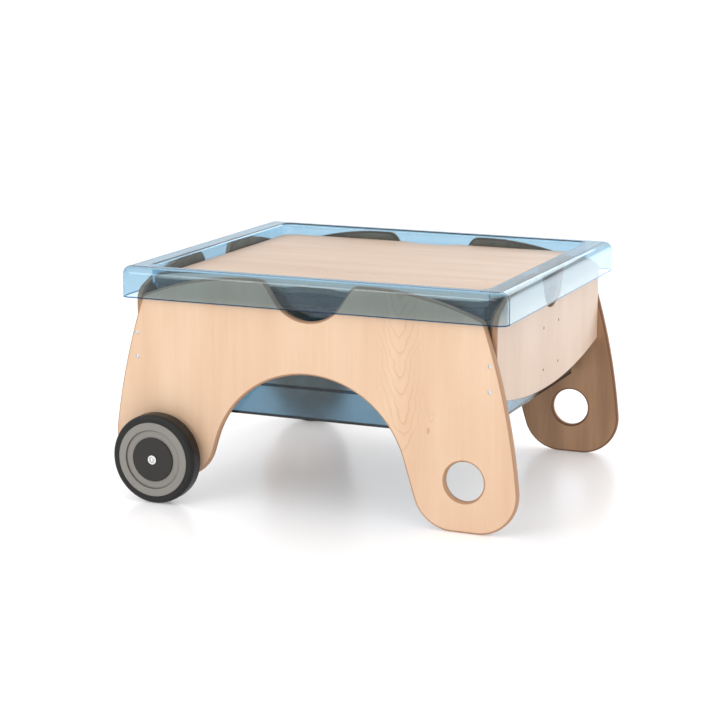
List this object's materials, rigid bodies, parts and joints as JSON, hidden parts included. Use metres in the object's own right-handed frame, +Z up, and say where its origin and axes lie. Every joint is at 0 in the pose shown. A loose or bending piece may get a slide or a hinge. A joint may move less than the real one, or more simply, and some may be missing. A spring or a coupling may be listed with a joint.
{
  "type": "sand and water table",
  "caption": "Plywood play table on wheels and feet, with arched sides, a clear blue lift-out tub and a lift-off lid.",
  "frame": {"origin": "on the floor under the middle of the tub", "axes": "+X towards the feet with the hand holes, -Y towards the front, +Z up"},
  "size_m": [0.9462, 0.8786, 0.518],
  "materials": {
    "side_plywood": "clear-lacquered birch plywood, edges a little darker",
    "end_plywood": "clear-lacquered birch plywood, paler",
    "lid_plywood": "clear-lacquered birch plywood, grain along the table",
    "cleat_wood": "plain planed wood",
    "clear_blue_plastic": "transparent light blue, glossy",
    "tyre_rubber": "satin black rubber",
    "grey_plastic": "light grey, satin",
    "black_plastic": "near black, satin",
    "bush_plastic": "off-white acetal",
    "bright_steel": "bright plated steel",
    "zinc_steel": "zinc-plated steel",
    "dark_steel": "dark bronzed steel"
  },
  "bodies": {
    "frame": {"side_panel_front": "side_plywood", "side_panel_back": "side_plywood", "end_panel_left": "end_plywood", "end_panel_right": "end_plywood", "support_cleat_left": "cleat_wood", "support_cleat_right": "cleat_wood", "side_screws_front": "bright_steel", "side_screws_back": "bright_steel", "cleat_screws_left": "dark_steel", "cleat_screws_right": "dark_steel", "axle_bush_front": "bush_plastic", "axle_bush_back": "bush_plastic", "wheel_spacer_front": "zinc_steel", "wheel_spacer_back": "zinc_steel", "axle_bolt_front": "bright_steel", "axle_bolt_back": "bright_steel", "bolt_washer_front": "bright_steel", "bolt_washer_back": "bright_steel", "nut_washer_front": "zinc_steel", "nut_washer_back": "zinc_steel", "axle_nut_front": "zinc_steel", "axle_nut_back": "zinc_steel"},
    "tub": {"tub": "clear_blue_plastic"},
    "lid": {"lid": "lid_plywood"},
    "wheel_front": {"tyre_front": "tyre_rubber", "wheel_hub_front": "grey_plastic", "hub_cap_front": "black_plastic"},
    "wheel_back": {"tyre_back": "tyre_rubber", "wheel_hub_back": "grey_plastic", "hub_cap_back": "black_plastic"}
  },
  "joints": [
    {"name": "tub_lift", "type": "slide", "parent": "frame", "child": "tub", "axis": [0, 0, 1], "range_m": [0, 0.32]},
    {"name": "lid_lift", "type": "slide", "parent": "tub", "child": "lid", "axis": [0, 0, 1], "range_m": [0, 0.12]},
    {"name": "wheel_front_spin", "type": "hinge", "parent": "frame", "child": "wheel_front", "pos_m": [-0.351, -0.412, 0.1], "axis": [0, 1, 0], "continuous": true},
    {"name": "wheel_back_spin", "type": "hinge", "parent": "frame", "child": "wheel_back", "pos_m": [-0.351, 0.412, 0.1], "axis": [0, 1, 0], "continuous": true}
  ]
}
